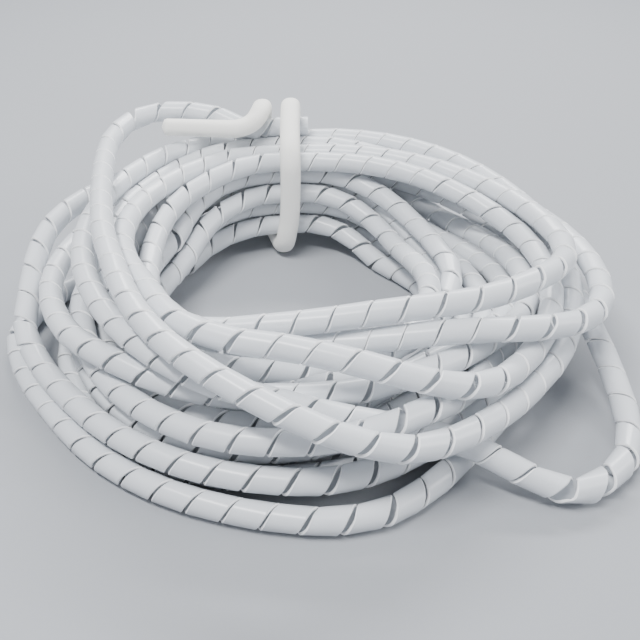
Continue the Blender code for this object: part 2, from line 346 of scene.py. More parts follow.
@dataclass(frozen=True)
class CutEdge(Finish):
    """Plastic whitened by the knife along the slit."""

    name: str = "cut_edge"
    colour: Colour = (0.97, 0.975, 0.98)
    shade: Colour = (0.86, 0.88, 0.90)
    cover: float = 0.90
    roughness: float = 0.42
    knife_marks: float = 1400.0
    bump: float = 0.00006

    def dress(self, graph: Graph, shader: bpy.types.Node) -> None:
        """Bright frosted plastic with fine knife marks."""
        skin = Arrow(graph, self.stored(graph, "unrolled").outputs["Vector"])
        marks = graph.noise(skin.stretched((1.0, 1.0, 0.15)), self.knife_marks, 3.0)
        worn = graph.noise(skin, 260.0, 2.0)
        graph.give(shader.inputs["Base Color"], graph.between(worn, self.shade, self.colour))
        graph.give(shader.inputs["Roughness"], self.roughness + marks * 0.2)
        graph.give(shader.inputs["Alpha"], self.cover + worn * 0.2)
        graph.give(shader.inputs["IOR"], 1.51)
        self.raise_surface(graph, shader, marks, self.bump)


@dataclass(frozen=True)
class SoftTiePlastic(Finish):
    """Warm white, satin, slightly see-through soft plastic."""

    name: str = "soft_white_tie"
    colour: Colour = (0.93, 0.925, 0.895)
    shade: Colour = (0.84, 0.835, 0.80)
    roughness: float = 0.36
    grain: float = 900.0
    bump: float = 0.00012

    def dress(self, graph: Graph, shader: bpy.types.Node) -> None:
        """Satin skin with a fine grain, cloudy shade and rubbed patches."""
        place = self.place(graph)
        cloud = graph.noise(place, 60.0, 3.0).eased(0.32, 0.68)
        grain = graph.noise(place, self.grain, 3.0)
        rubbed = graph.noise(place, 190.0, 4.0, 0.65).eased(0.55, 0.7)
        graph.give(shader.inputs["Base Color"], graph.between(cloud, self.shade, self.colour))
        rough = self.roughness + grain * 0.14 - rubbed * 0.1
        graph.give(shader.inputs["Roughness"], rough)
        graph.give(shader.inputs["IOR"], 1.48)
        graph.give(shader.inputs["Subsurface Weight"], 0.35)
        graph.give(shader.inputs["Subsurface Radius"], (1.0, 0.9, 0.75))
        graph.give(shader.inputs["Subsurface Scale"], 0.003)
        height = grain * 0.35 + graph.noise(place, 230.0, 2.0) * 0.65
        self.raise_surface(graph, shader, height, self.bump)


@dataclass(frozen=True)
class FloorPaper(Finish):
    """Plain pale matt sweep under the object."""

    name: str = "floor_paper"
    colour: Colour = (0.34, 0.355, 0.38)
    roughness: float = 0.85

    def dress(self, graph: Graph, shader: bpy.types.Node) -> None:
        """An even matt surface with a barely seen tooth."""
        tooth = graph.noise(self.place(graph), 700.0, 2.0)
        graph.give(shader.inputs["Base Color"], (*self.colour, 1.0))
        graph.give(shader.inputs["Roughness"], self.roughness + tooth * 0.1)
        self.raise_surface(graph, shader, tooth, 0.00005)


# The route of the tube's centre line

def eased(x: np.ndarray) -> np.ndarray:
    """Smooth step from 0 to 1."""
    x = np.clip(x, 0.0, 1.0)
    return x * x * (3.0 - 2.0 * x)


def smooth_line(points: np.ndarray, parts: int) -> np.ndarray:
    """A smooth curve through points.

    Args:
        points: The points to pass through.
        parts: How many steps each stretch between two points takes.

    Returns:
        The finer points.
    """
    ends = np.vstack([2 * points[0] - points[1], points, 2 * points[-1] - points[-2]])
    p0, p1, p2, p3 = ends[:-3], ends[1:-2], ends[2:-1], ends[3:]
    t = (np.arange(parts) / parts)[None, :, None]
    p0, p1, p2, p3 = (p[:, None, :] for p in (p0, p1, p2, p3))
    fine = p1 + 0.5 * t * (p2 - p0 + t * (2 * p0 - 5 * p1 + 4 * p2 - p3 + t * (3 * (p1 - p2) + p3 - p0)))
    return np.vstack([fine.reshape(-1, 3), points[-1:]])


@dataclass(frozen=True)
class CoilRoute:
    """How the tube is wound. Lengths are in tube diameters unless their name says metres."""

    diameter_metres: float = 0.010
    turns: int = 17
    ring_radius: float = 8.9
    ring_centre_metres: tuple[float, float] = (-0.00297, 0.00627)
    tie_azimuth: float = 96.5
    held_arc: float = 15.0
    rows: int = 5
    columns: int = 4
    slack_row: int = 1
    column_pitch: float = 1.04
    row_pitch: float = 0.905
    floor_height: float = 0.55
    tie_lift: float = 0.97
    steps: int = 40
    steps_before: int = 1
    steps_after: int = 2
    first_held_arc: float = 9.5
    ease_arc: float = 25.0
    open_arc: float = 50.0
    wander_seed: int = 21
    wander_waves: int = 3
    wander: tuple[float, float] = (0.9, 0.35)
    spacing: float = 1.06
    passes: int = 900
    early_passes: int = 560
    settle_step_metres: float = 0.00003
    neighbour_steps: int = 4
    crossover_start: float = 0.06
    crossover_share: float = 0.88
    loose_hold: float = 0.6
    reach: float = 2.6
    passes_between_searches: int = 12
    push: float = 1.3
    least_weight: float = 0.7
    early_stiffness: float = 0.25
    late_stiffness: float = 0.03

    # Azimuth, spread across, lean of the upper rows, squash of the height, shift of the centre
    # line, and the least and the greatest radius
    sections: tuple = (
        (10, 1.25, -0.25, 0.95, 0, 6.1, 11.5),
        (50, 1.15, 0.2, 1, -0.05, 6.1, 10.9),
        (96.5, 1, 0, 1, 0, 6.2, 10.9),
        (140, 1.1, 0.2, 1, 0, 6.7, 11),
        (185, 1.15, -0.7, 0.96, 0.3, 6.9, 12.5),
        (208, 1.1, -0.8, 0.95, 0.2, 6.9, 11.7),
        (230, 1.05, -0.85, 0.94, 0.2, 6.8, 11.3),
        (260, 1.05, -0.85, 0.92, 0.3, 6.6, 11.7),
        (280, 1.05, -0.85, 0.92, 0.3, 6.6, 12),
        (302, 1.05, -0.85, 0.92, -0.1, 6.5, 10.5),
        (325, 1.1, -0.8, 0.92, -0.2, 6.3, 10.1),
        (347, 1.25, -0.7, 0.94, 0, 6.2, 11.3),
    )
    # Turns that leave the bundle: azimuth, radius and height of each point of their route
    loose_turns: tuple = (
        (0, (
            (107, 10.15, 6.15), (112, 10.85, 6.2), (117, 11.75, 6.3), (123, 12.65, 6.4),
            (129, 13.05, 6.4), (135, 12.9, 6.3), (142, 12.1, 6.2), (151, 10.8, 6.1), (162, 9.6, 6),
            (175, 8.75, 5.9), (188, 8.35, 5.8), (201, 8.2, 5.7), (212, 8.35, 5.6), (224, 8.8, 5.45),
            (234, 9.3, 5.3), (246, 9.95, 5.05), (256, 10.55, 4.75), (264, 11.05, 4.35),
            (271, 11.5, 3.9), (279, 11.8, 3.2), (289, 11.8, 2.4), (302, 11.3, 1.9), (320, 10.9, 1.9),
            (342, 11.2, 2.4), (372, 11.2, 3.4), (395, 10.75, 4.3), (417, 10.6, 4.85),
        )),
        (1, (
            (140, 10, 5.1), (174, 9.3, 4.9), (205, 8.9, 4.7), (230, 8.9, 4.35), (250, 8.9, 3.85),
            (266, 8.8, 3.4), (280, 9.1, 2.9), (290, 9.5, 2.45), (297, 9.95, 2.05), (302, 10.5, 1.7),
            (305, 11.3, 1.35), (308, 12.6, 0.85), (311, 13.7, 0.55), (315, 14.55, 0.55),
            (319, 14.95, 0.55), (324, 14.95, 0.55), (330, 14.65, 0.6), (336, 13.95, 1),
            (342, 13.1, 1.6), (349, 12.3, 2.2), (358, 11.7, 2.6), (375, 11, 3.1), (400, 10.3, 4.1),
        )),
        (2, (
            (140, 9.1, 4.9), (175, 8.6, 4.5), (208, 7.9, 4.1), (227, 7.3, 4.05), (243, 6.95, 3.95),
            (254, 6.65, 4.05), (268, 6.5, 4.15), (280, 6.6, 4.25), (294, 7.05, 4.4), (307, 7.95, 4.55),
            (318, 9, 4.65), (328, 10, 4.65), (336, 10.8, 4.75), (344, 11.45, 4.5), (354, 11.85, 4.3),
            (368, 11.5, 4.25), (384, 10.7, 4.4), (402, 9.6, 4.8),
        )),
        (3, (
            (140, 8.15, 5), (160, 7.9, 5), (179, 7.65, 5), (215, 7.32, 5), (231, 7.8, 5),
            (243, 8.2, 5), (256, 8.4, 4.95), (270, 8.6, 4.8), (282, 9.2, 4.5), (291, 9.95, 4.1),
            (297, 10.55, 3.7), (304, 11.1, 3.2), (312, 11.4, 2.75), (322, 11.5, 2.45),
            (334, 11.6, 2.5), (348, 11.5, 2.8), (372, 10.6, 3.6), (398, 8.6, 4.7),
        )),
        (4, (
            (140, 7.5, 4.6), (175, 7, 3.7), (208, 7, 3.2), (241, 6.6, 2.95), (258, 6.3, 3.05),
            (273, 6.38, 3.1), (287, 6.76, 3.25), (297, 7.3, 3.4), (305, 7.96, 3.5), (314, 9, 3.45),
            (321, 10.1, 3.3), (328, 11, 3.05), (336, 11.75, 2.9), (346, 12.05, 2.85),
            (358, 11.9, 3.05), (376, 11.3, 3.4), (400, 10.6, 3.8),
        )),
        (5, (
            (135, 10.7, 4.8), (146, 11.15, 4.75), (156, 11.45, 4.65), (165, 11.7, 4.5),
            (173, 11.75, 4.1), (181, 11.7, 3.6), (188, 11.75, 2.9), (196, 11.85, 2.2),
            (206, 11.5, 1.7), (220, 11.1, 1.5), (240, 11.1, 1.5), (262, 11.3, 1.5), (280, 11.4, 1.5),
            (298, 10.8, 1.45), (320, 10.4, 1.6), (345, 10.9, 2), (380, 10.6, 2.6), (412, 9.8, 3.5),
        )),
        (16, (
            (140, 9.7, 0.8), (160, 10.9, 0.6), (175, 12.1, 0.55), (187, 12.6, 0.55), (200, 12.1, 0.55),
            (215, 11.6, 0.55), (235, 11.6, 0.55), (260, 11.8, 0.55), (280, 12.1, 0.55),
            (290, 11.7, 0.55), (300, 10.9, 0.55), (312, 10.3, 0.55), (325, 10.2, 0.55),
            (345, 10.5, 0.55), (365, 10.6, 0.6), (385, 10.5, 0.7), (410, 10.4, 1),
        )),
    )

    def packed_places(self) -> np.ndarray:
        """Where each turn sits under the tie, across and up, from the top row down and to and fro."""
        base = self.floor_height + self.tie_lift
        places = [(self.column_pitch, base + self.rows * self.row_pitch)]
        for row in reversed(range(self.rows)):
            count = self.columns - row % 2
            across = [(k - (count - 1) / 2) * self.column_pitch for k in range(count)]
            if row == self.slack_row:
                across.pop(count // 2)
            if row % 2 or row == self.rows - 1:
                across.reverse()
            places += [(x, base + row * self.row_pitch) for x in across]
        return np.array(places)

    def section_at(self, azimuth: np.ndarray, column: int) -> np.ndarray:
        """One column of the sections at each azimuth, eased between stations all the way round."""
        stations = np.array(self.sections)
        at = np.concatenate([stations[:, 0] - 360.0, stations[:, 0], stations[:, 0] + 360.0])
        value = np.tile(stations[:, column], 3)
        turned = azimuth % 360.0
        i = np.searchsorted(at, turned, side="right") - 1
        share = eased((turned - at[i]) / (at[i + 1] - at[i]))
        return value[i] * (1.0 - share) + value[i + 1] * share

    @staticmethod
    def curve_through(points: Sequence[Point], azimuth: np.ndarray) -> np.ndarray:
        """Radius and height at each azimuth on a smooth curve through (azimuth, radius, height)."""
        table = np.array(points, float)
        at, value = table[:, 0], table[:, 1:]
        slope = np.gradient(value, at, axis=0)
        slope[1:-1] = (value[2:] - value[:-2]) / (at[2:] - at[:-2])[:, None]
        i = np.clip(np.searchsorted(at, azimuth, side="right") - 1, 0, len(at) - 2)
        width = (at[i + 1] - at[i])[:, None]
        t = (azimuth - at[i])[:, None] / width
        start = (2 * t**3 - 3 * t**2 + 1) * value[i] + (t**3 - 2 * t**2 + t) * width * slope[i]
        end = (3 * t**2 - 2 * t**3) * value[i + 1] + (t**3 - t**2) * width * slope[i + 1]
        return start + end

    def wound(self) -> tuple[np.ndarray, np.ndarray]:
        """First draft of the centre line.

        Returns:
            The points in metres about the ring's centre, and how freely each may move.
        """
        places = self.packed_places()
        step = np.arange(-self.steps_before, self.turns * self.steps + self.steps_after + 1)
        azimuth = self.tie_azimuth + step * 360.0 / self.steps
        turn = np.clip(step // self.steps, 0, self.turns - 1)
        along = np.clip(step / self.steps - turn, 0.0, 1.0)
        from_tie = np.abs((azimuth - self.tie_azimuth + 180.0) % 360.0 - 180.0)
        away = eased((from_tie - self.held_arc) / self.open_arc)

        moved = eased((along - self.crossover_start) / self.crossover_share)[:, None]
        place = places[turn] * (1.0 - moved) + places[turn + 1] * moved
        half_height = (self.rows - 1) / 2 * self.row_pitch
        above = place[:, 1] - self.floor_height - self.tie_lift - half_height
        spread, lean, squash, aside = (self.section_at(azimuth, column) for column in (1, 2, 3, 4))
        across = place[:, 0] * (1.0 + (spread - 1.0) * away) + (above * lean + aside) * away
        height = self.floor_height + self.tie_lift * (1.0 - away)
        height += (half_height + above) * (1.0 + (squash - 1.0) * away)
        self._let_wander(across, height, turn, along, away)

        least, greatest = self.section_at(azimuth, 5), self.section_at(azimuth, 6)
        radius = np.clip(self.ring_radius + across, least, greatest)
        leaving = azimuth > self.tie_azimuth + self.first_held_arc
        rising = (turn == 0) & leaving & (along < 0.5)
        loose = self._place_loose_turns(places, azimuth, turn, radius, height)
        angle = np.radians(azimuth)
        points = np.stack([radius * np.cos(angle), radius * np.sin(angle), height], 1)
        points[:, 2] = np.maximum(points[:, 2], self.floor_height)
        release = np.maximum(eased((from_tie - self.held_arc) / self.ease_arc), rising)
        return points * self.diameter_metres, (1.0 - self.loose_hold * loose) * release

    def _let_wander(
        self,
        across: np.ndarray,
        height: np.ndarray,
        turn: np.ndarray,
        along: np.ndarray,
        away: np.ndarray,
    ) -> None:
        """Let each turn wander a little across and up, away from the tie."""
        chance = np.random.default_rng(self.wander_seed)
        for n in range(self.turns):
            mine = turn == n
            for wave in range(1, self.wander_waves + 1):
                start = chance.uniform(0.0, 2.0 * math.pi, 2)
                size = chance.normal(0.0, 1.0, 2) * np.array(self.wander) / wave
                angle = 2.0 * math.pi * wave * along[mine]
                across[mine] += size[0] * np.sin(angle + start[0]) * away[mine]
                height[mine] += size[1] * np.sin(angle + start[1]) * away[mine]

    def _place_loose_turns(
        self,
        places: np.ndarray,
        azimuth: np.ndarray,
        turn: np.ndarray,
        radius: np.ndarray,
        height: np.ndarray,
    ) -> np.ndarray:
        """Give the loose turns their own routes between their places under the tie.

        Args:
            places: The places under the tie.
            azimuth: Azimuth of each point, in degrees.
            turn: The turn of each point.
            radius: Radius of each point, which is changed.
            height: Height of each point, which is changed.

        Returns:
            1 for each point of a loose turn, and 0 for the others.
        """
        loose = np.zeros(len(azimuth))
        for n, route in self.loose_turns:
            mine = turn == n
            here = (self.ring_radius + places[n, 0], places[n, 1])
            there = (self.ring_radius + places[n + 1, 0], places[n + 1, 1])
            held_until = self.tie_azimuth + (self.held_arc if n else self.first_held_arc)
            held_from = self.tie_azimuth + 360.0 - self.held_arc
            start = [(self.tie_azimuth, *here)] + ([(held_until, *here)] if n else [])
            end = [(held_from, *there), (self.tie_azimuth + 360.0, *there)]
            local = azimuth[mine] - 360.0 * n
            found = self.curve_through(start + list(route) + end, local)
            found[local <= held_until] = here
            found[local >= held_from] = there
            radius[mine], height[mine] = found[:, 0], found[:, 1]
            loose[mine] = 1.0
        return loose

    @staticmethod
    def nearest_on(
        p0: np.ndarray, p1: np.ndarray, q0: np.ndarray, q1: np.ndarray
    ) -> tuple[np.ndarray, np.ndarray, np.ndarray]:
        """Shortest way from segments q to segments p, and how far along each it starts."""
        along_p, along_q, between = p1 - p0, q1 - q0, p0 - q0
        pp, qq = (along_p**2).sum(1), (along_q**2).sum(1)
        pq = (along_p * along_q).sum(1)
        pb, qb = (along_p * between).sum(1), (along_q * between).sum(1)
        s = np.clip((pq * qb - pb * qq) / np.maximum(pp * qq - pq**2, 1e-18), 0.0, 1.0)
        t = np.clip((pq * s + qb) / qq, 0.0, 1.0)
        s = np.clip((pq * t - pb) / pp, 0.0, 1.0)
        return (p0 + along_p * s[:, None]) - (q0 + along_q * t[:, None]), s, t

    def neighbours(self, points: np.ndarray, reach: float) -> tuple[np.ndarray, np.ndarray]:
        """Pairs of segments of different stretches that lie within reach of each other."""
        middle = 0.5 * (points[:-1] + points[1:])
        apart = ((middle[:, None, :] - middle[None, :, :]) ** 2).sum(2)
        first, second = np.nonzero(apart < reach**2)
        keep = second - first > self.neighbour_steps
        return first[keep], second[keep]

    def set_apart(self, points: np.ndarray, freedom: np.ndarray) -> np.ndarray:
        """Move the turns off each other, a little at a time, until they lie beside each other.

        Args:
            points: The first draft.
            freedom: How freely each point may move.

        Returns:
            The settled points.
        """
        wanted = self.spacing * self.diameter_metres
        shift = np.zeros_like(points)
        movable = (freedom > 0.0).astype(float)[:, None]
        for count in range(self.passes):
            now = points + shift
            if count % self.passes_between_searches == 0:
                first, second = self.neighbours(now, self.reach * wanted)
            way, s, t = self.nearest_on(now[first], now[first + 1], now[second], now[second + 1])
            distance = np.sqrt((way**2).sum(1)) + 1e-12
            near = distance < wanted
            a, b, s, t = first[near], second[near], s[near], t[near]
            ease_a = freedom[a] * (1.0 - s) + freedom[a + 1] * s
            ease_b = freedom[b] * (1.0 - t) + freedom[b + 1] * t
            share = ease_a / (ease_a + ease_b + 1e-6)
            push = way[near] / distance[near][:, None] * (wanted - distance[near])[:, None]
            move, weight = np.zeros_like(points), np.zeros(len(points))
            for index, part, moved in ((a, 1.0 - s, share), (a + 1, s, share),
                                       (b, 1.0 - t, share - 1.0), (b + 1, t, share - 1.0)):
                np.add.at(move, index, push * (part * moved)[:, None])
                np.add.at(weight, index, part)
            shift += self.push * move / np.maximum(weight, self.least_weight)[:, None] * movable
            early = count < self.early_passes
            if early:
                shift[:, 2] -= self.settle_step_metres * freedom
            stiffness = self.early_stiffness if early else self.late_stiffness
            middle = 0.5 * (shift[:-2] + shift[2:])
            shift[1:-1] += stiffness * movable[1:-1] * (middle - shift[1:-1])
            below = wanted / 2 - (points[:, 2] + shift[:, 2])
            shift[:, 2] += np.maximum(below, 0.0)
        return points + shift

    def points(self) -> np.ndarray:
        """The tube's centre line in the frame, in metres."""
        points = self.set_apart(*self.wound())
        points[:, :2] += self.ring_centre_metres
        return points


@dataclass
class SpiralTube:
    """The slit tube: one band of plastic that winds round a hollow centre along the route."""

    route: CoilRoute
    wall: float = 0.001
    band: float = 0.0130
    least_gap: float = 0.00008
    gap_swing: float = 0.0006
    gap_waves: float = 9.0
    edge: float = 0.00045
    steps_a_turn: int = 20
    tip: float = 0.0002
    finer: int = 5
    smoothing: int = 14
    gap_seed: float = 3.0
    sharp_angle: float = 35.0
    name: str = "spiral_tube"

    def line_object(self, points: np.ndarray, cyclic: bool, name: str) -> bpy.types.Object:
        """A curve object of one spline of straight steps."""
        curve = bpy.data.curves.new(name, "CURVE")
        curve.dimensions = "3D"
        spline = curve.splines.new("POLY")
        spline.points.add(len(points) - 1)
        spline.points.foreach_set("co", np.insert(points, 3, 1.0, axis=1).ravel())
        spline.use_cyclic_u = cyclic
        made = bpy.data.objects.new(name, curve)
        bpy.context.scene.collection.objects.link(made)
        return made

    def section(self) -> bpy.types.Object:
        """The band's section: X across the band and Y out from the tube's axis."""
        half, outside = self.band / 2, self.route.diameter_metres / 2
        inside, shoulder = outside - self.wall, outside - self.edge
        corners = [
            (half, inside), (half, shoulder), (half - self.edge, outside),
            (self.edge - half, outside), (-half, shoulder), (-half, inside),
        ]
        return self.line_object(np.array([(x, y, 0.0) for x, y in corners]), True, "band_section")

    def extended(self, line: np.ndarray) -> np.ndarray:
        """The line, longer at both ends by nearly half a band, so that the ends come out square."""
        extra = self.band / 2 - self.tip
        first, last = line[0] - line[1], line[-1] - line[-2]
        start = line[0] + first / np.linalg.norm(first) * extra
        end = line[-1] + last / np.linalg.norm(last) * extra
        return np.vstack([start, line, end])

    def build(self) -> bpy.types.Object:
        line = smooth_line(self.route.points(), self.finer)
        piece = self.line_object(self.extended(line), False, self.name + "_line")
        section = self.section()
        modifier = piece.modifiers.new("slit", "NODES")
        modifier.node_group = SlitTree().group
        sizes = {
            "Section": section,
            "Band": self.band,
            "Radius": self.route.diameter_metres / 2,
            "Least Gap": self.least_gap,
            "Gap Swing": self.gap_swing,
            "Gap Waves": self.gap_waves,
            "Steps a Turn": self.steps_a_turn,
            "Margin": self.band / 2 - self.tip,
            "Smoothing": self.smoothing,
            "Seed": self.gap_seed,
            "Wall": NaturalPolyethylene().material(),
            "Cut": CutEdge().material(),
        }
        for socket in modifier.node_group.interface.items_tree:
            if socket.item_type == "SOCKET" and socket.name in sizes:
                modifier[socket.identifier] = sizes[socket.name]
        tube = plain_mesh(piece, self.name)
        bpy.data.objects.remove(section)
        tube.data.shade_smooth()
        tube.data.set_sharp_from_angle(angle=math.radians(self.sharp_angle))
        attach(tube, Body.COIL.value)
        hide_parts(*(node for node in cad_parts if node.startswith("coil_turn_")))
        report(tube)
        return tube


class SlitTree:
    """The node tree that winds the band along the centre line."""

    cut_from = 0.25
    sockets = (
        ("Centre Line", "NodeSocketGeometry"),
        ("Section", "NodeSocketObject"),
        ("Band", "NodeSocketFloat"),
        ("Radius", "NodeSocketFloat"),
        ("Least Gap", "NodeSocketFloat"),
        ("Gap Swing", "NodeSocketFloat"),
        ("Gap Waves", "NodeSocketFloat"),
        ("Steps a Turn", "NodeSocketInt"),
        ("Margin", "NodeSocketFloat"),
        ("Smoothing", "NodeSocketInt"),
        ("Seed", "NodeSocketFloat"),
        ("Wall", "NodeSocketMaterial"),
        ("Cut", "NodeSocketMaterial"),
    )

    def __init__(self) -> None:
        """Make the group, its sockets and its nodes."""
        self.group = bpy.data.node_groups.new("slit_band", "GeometryNodeTree")
        for name, kind in self.sockets:
            self.group.interface.new_socket(name=name, in_out="INPUT", socket_type=kind)
        self.group.interface.new_socket(name="Tube", in_out="OUTPUT", socket_type="NodeSocketGeometry")
        self.graph = Graph(self.group)
        self.given = self.graph.node("NodeGroupInput").outputs
        self.fill()

    def size(self, name: str) -> Number:
        """One of the tree's named sizes."""
        return Number(self.graph, self.given[name])

    def captured(self, geometry: Wire, **fields: Wire) -> tuple[Wire, dict[str, Wire]]:
        """Keep fields on the points of a geometry.

        Args:
            geometry: The geometry whose points keep the fields.
            fields: The fields, each a Number or an Arrow, by name.

        Returns:
            The geometry and the kept fields.
        """
        node = self.graph.node("GeometryNodeCaptureAttribute", {"domain": "POINT"}, {0: geometry})
        for name, field in fields.items():
            node.capture_items.new("VECTOR" if isinstance(field, Arrow) else "FLOAT", name)
        kept = {}
        for name, field in fields.items():
            self.graph.give(node.inputs[name], field)
            kept[name] = type(field)(self.graph, node.outputs[name])
        return Wire(self.graph, node.outputs["Geometry"]), kept

    def stored(self, geometry: Wire, name: str, value: Wire) -> Wire:
        """The geometry with a named attribute on its points."""
        kind = "FLOAT_VECTOR" if isinstance(value, Arrow) else "FLOAT"
        settings = {"data_type": kind, "domain": "POINT"}
        inputs = {"Geometry": geometry, "Name": name, "Value": value}
        node = self.graph.node("GeometryNodeStoreNamedAttribute", settings, inputs)
        return Wire(self.graph, node.outputs[0])

    def bend(self, tangent: Arrow, step: Number, count: Number) -> Number:
        """How sharply the line bends at each point, as one over the bend's radius."""
        graph = self.graph
        index = Number(graph, graph.node("GeometryNodeInputIndex").outputs[0])
        settings = {"data_type": "FLOAT_VECTOR", "domain": "POINT"}
        beside = []
        for shift in (1.0, -1.0):
            inputs = {"Index": (index + shift).clamped(0.0, count - 1.0), "Value": tangent}
            node = graph.node("GeometryNodeFieldAtIndex", settings, inputs)
            beside.append(Arrow(graph, node.outputs[0]))
        raw = (beside[0] - beside[1]).length() / (step * 2.0)
        inputs = {"Value": raw, "Iterations": self.size("Smoothing")}
        blurred = graph.node("GeometryNodeBlurAttribute", {"data_type": "FLOAT"}, inputs)
        return Number(graph, blurred.outputs[0])

    def angle(self, along: Number, step: Number, bend: Number) -> Number:
        """How far the band has turned at each point. The slit winds left-handed."""
        graph = self.graph
        inputs = {"W": along + self.size("Seed"), "Scale": self.size("Gap Waves"), "Detail": 3.0}
        waves = graph.node("ShaderNodeTexNoise", {"noise_dimensions": "1D"}, inputs)
        swing = Number(graph, waves.outputs[0]).eased(0.3, 0.75)
        gap = self.size("Least Gap") + self.size("Gap Swing") * swing
        pitch = self.size("Band") / (1.0 - bend * self.size("Radius")) + gap
        turned = step * (2.0 * math.pi) / pitch
        settings = {"data_type": "FLOAT", "domain": "POINT"}
        node = graph.node("GeometryNodeAccumulateField", settings, {"Value": turned})
        return -Number(graph, node.outputs["Trailing"])

    def fill(self) -> None:
        """Wind the band, keep its own coordinates and give it its two finishes."""
        graph = self.graph
        line = Wire(graph, self.given["Centre Line"])
        measured = graph.node("GeometryNodeCurveLength", {}, {0: line})
        length = Number(graph, measured.outputs[0])
        pitch = self.size("Band") + self.size("Least Gap") + self.size("Gap Swing") * 0.5
        count = graph.maths("ROUND", length / pitch * self.size("Steps a Turn")) + 1.0
        step = length / (count - 1.0)
        inputs = {"Curve": line, "Count": count}
        resampled = graph.node("GeometryNodeResampleCurve", {"mode": "COUNT"}, inputs)
        line = Wire(graph, resampled.outputs[0])

        place = Arrow(graph, graph.node("GeometryNodeInputPosition").outputs[0])
        tangent = Arrow(graph, graph.node("GeometryNodeInputTangent").outputs[0])
        normal = Arrow(graph, graph.node("GeometryNodeInputNormal").outputs[0])
        index = Number(graph, graph.node("GeometryNodeInputIndex").outputs[0])
        along = index * step
        angle = self.angle(along, step, self.bend(tangent, step, count))
        line, kept = self.captured(
            line, centre=place, tangent=tangent, normal=normal, angle=angle, along=along
        )
        section = graph.node("GeometryNodeObjectInfo", {}, {"Object": Wire(graph, self.given["Section"])})
        profile, corner = self.captured(Wire(graph, section.outputs["Geometry"]), corner=place)
        inputs = {"Curve": line, "Profile Curve": profile, "Fill Caps": True}
        swept = Wire(graph, graph.node("GeometryNodeCurveToMesh", {}, inputs).outputs[0])

        across, outward, _ = corner["corner"].parts()
        margin = self.size("Margin")
        here = kept["along"]
        wide = across.clamped(margin - here, length - margin - here)
        cosine, sine = graph.maths("COSINE", kept["angle"]), graph.maths("SINE", kept["angle"])
        side = kept["tangent"].cross(kept["normal"])
        radial = kept["normal"] * cosine + side * sine
        moved = kept["centre"] + kept["tangent"] * wide + radial * outward
        placed = graph.node("GeometryNodeSetPosition", {}, {"Geometry": swept, "Position": moved})

        unrolled = graph.arrow(cosine * outward, sine * outward, here + wide)
        made = self.stored(Wire(graph, placed.outputs[0]), "unrolled", unrolled)
        made = self.stored(made, "across", across / self.size("Band"))
        realized = graph.node("GeometryNodeRealizeInstances", {}, {0: made})
        inputs = {"Geometry": Wire(graph, realized.outputs[0]), "Material": Wire(graph, self.given["Wall"])}
        walled = graph.node("GeometryNodeSetMaterial", {}, inputs)
        named = graph.node("GeometryNodeInputNamedAttribute", {"data_type": "FLOAT"}, {"Name": "across"})
        is_cut = graph.maths("GREATER_THAN", abs(Number(graph, named.outputs[0])), self.cut_from)
        inputs = {
            "Geometry": Wire(graph, walled.outputs[0]),
            "Selection": is_cut,
            "Material": Wire(graph, self.given["Cut"]),
        }
        cut = graph.node("GeometryNodeSetMaterial", {}, inputs)
        graph.node("NodeGroupOutput", {}, {0: Wire(graph, cut.outputs[0])})


